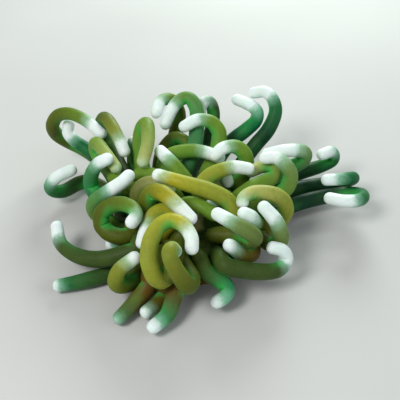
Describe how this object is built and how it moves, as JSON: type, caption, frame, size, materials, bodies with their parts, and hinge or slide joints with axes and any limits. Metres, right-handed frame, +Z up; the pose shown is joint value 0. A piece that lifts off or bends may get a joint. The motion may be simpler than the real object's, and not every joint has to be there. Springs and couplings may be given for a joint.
{
  "type": "sea anemone",
  "caption": "Low sea anemone on a flat pedal disc, with a short wide column, a slit mouth and a mop of long, blunt, finger-like tentacles that curl over one another.",
  "frame": {"origin": "centre of the pedal disc's flat sole, on the floor", "axes": "+Z up, +X to the viewer's right along the widest spread, +Y away from the viewer"},
  "size_m": [0.1349, 0.109, 0.0407],
  "materials": {
    "trunk": "soft wet flesh, olive brown",
    "disc": "soft wet flesh, dark olive green",
    "mouth": "soft wet flesh, pale olive lips",
    "tentacle": "translucent wet flesh, olive to emerald green with white tips"
  },
  "bodies": {
    "root": {"pedal_disc": "trunk", "column": "trunk", "mouth": "mouth", "oral_disc": "disc", "tentacle_01": "tentacle", "tentacle_02": "tentacle", "tentacle_03": "tentacle", "tentacle_04": "tentacle", "tentacle_05": "tentacle", "tentacle_06": "tentacle", "tentacle_07_shaft": "tentacle", "tentacle_07_tip": "tentacle", "tentacle_08": "tentacle", "tentacle_09": "tentacle", "tentacle_10": "tentacle", "tentacle_11_shaft": "tentacle", "tentacle_11_tip": "tentacle", "tentacle_12_shaft": "tentacle", "tentacle_12_tip": "tentacle", "tentacle_13": "tentacle", "tentacle_14": "tentacle", "tentacle_15_shaft": "tentacle", "tentacle_15_tip": "tentacle", "tentacle_16_shaft": "tentacle", "tentacle_16_tip": "tentacle", "tentacle_17_shaft": "tentacle", "tentacle_17_tip": "tentacle", "tentacle_18": "tentacle", "tentacle_19_shaft": "tentacle", "tentacle_19_tip": "tentacle", "tentacle_20_shaft": "tentacle", "tentacle_20_tip": "tentacle", "tentacle_21": "tentacle", "tentacle_22": "tentacle", "tentacle_23": "tentacle", "tentacle_24": "tentacle", "tentacle_25": "tentacle", "tentacle_26_shaft": "tentacle", "tentacle_26_tip": "tentacle", "tentacle_27": "tentacle", "tentacle_28_shaft": "tentacle", "tentacle_28_tip": "tentacle", "tentacle_29": "tentacle", "tentacle_30": "tentacle", "tentacle_31": "tentacle", "tentacle_32": "tentacle", "tentacle_33_shaft": "tentacle", "tentacle_33_tip": "tentacle", "tentacle_34": "tentacle", "tentacle_35": "tentacle", "tentacle_36_shaft": "tentacle", "tentacle_36_tip": "tentacle", "tentacle_37": "tentacle", "tentacle_38_shaft": "tentacle", "tentacle_38_tip": "tentacle", "tentacle_39_shaft": "tentacle", "tentacle_39_tip": "tentacle", "tentacle_40": "tentacle", "tentacle_41_shaft": "tentacle", "tentacle_41_tip": "tentacle"}
  },
  "joints": []
}
